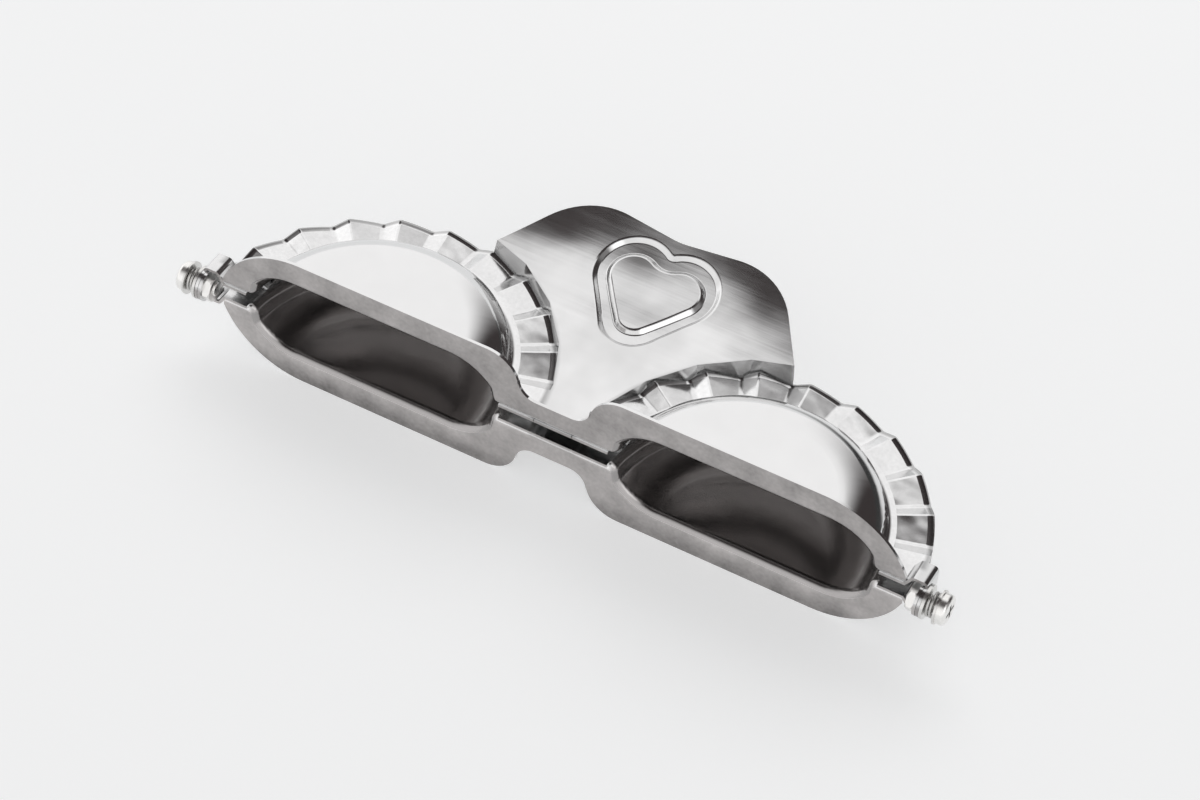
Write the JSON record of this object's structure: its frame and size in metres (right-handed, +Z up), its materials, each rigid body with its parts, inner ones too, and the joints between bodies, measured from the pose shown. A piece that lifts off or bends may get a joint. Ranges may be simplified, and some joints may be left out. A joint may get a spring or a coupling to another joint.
{
  "type": "empanada press",
  "caption": "Hinged press of stamped steel halves, each with half-round pans, crimped rims, a bent front flange and a curved handle leaf.",
  "frame": {"origin": "centre of the bounding box at its base, on the table that the closed press leans back on", "axes": "+X along the hinge, to the right as seen from the flanged front; +Y from the hinge towards the handle; +Z up"},
  "size_m": [0.2174, 0.0732, 0.0412],
  "materials": {
    "stamped_steel": "polished pans and crimps, satin leaf and flange",
    "screw_steel": "bright plated",
    "nut_steel": "bright plated",
    "washer_steel": "satin",
    "spring_steel": "drawn wire"
  },
  "bodies": {
    "lower_half": {"lower_shell": "stamped_steel", "left_hinge_screw": "screw_steel", "left_hinge_nut": "nut_steel", "left_ear_washer": "washer_steel", "left_hinge_spring": "spring_steel", "left_head_washer": "washer_steel", "right_hinge_screw": "screw_steel", "right_hinge_nut": "nut_steel", "right_ear_washer": "washer_steel", "right_hinge_spring": "spring_steel", "right_head_washer": "washer_steel"},
    "upper_half": {"upper_shell": "stamped_steel"}
  },
  "joints": [
    {"name": "front_hinge", "type": "hinge", "parent": "lower_half", "child": "upper_half", "pos_m": [0, -0.03213, 0.02065], "axis": [1, 0, 0], "range_deg": [0, 180]}
  ]
}
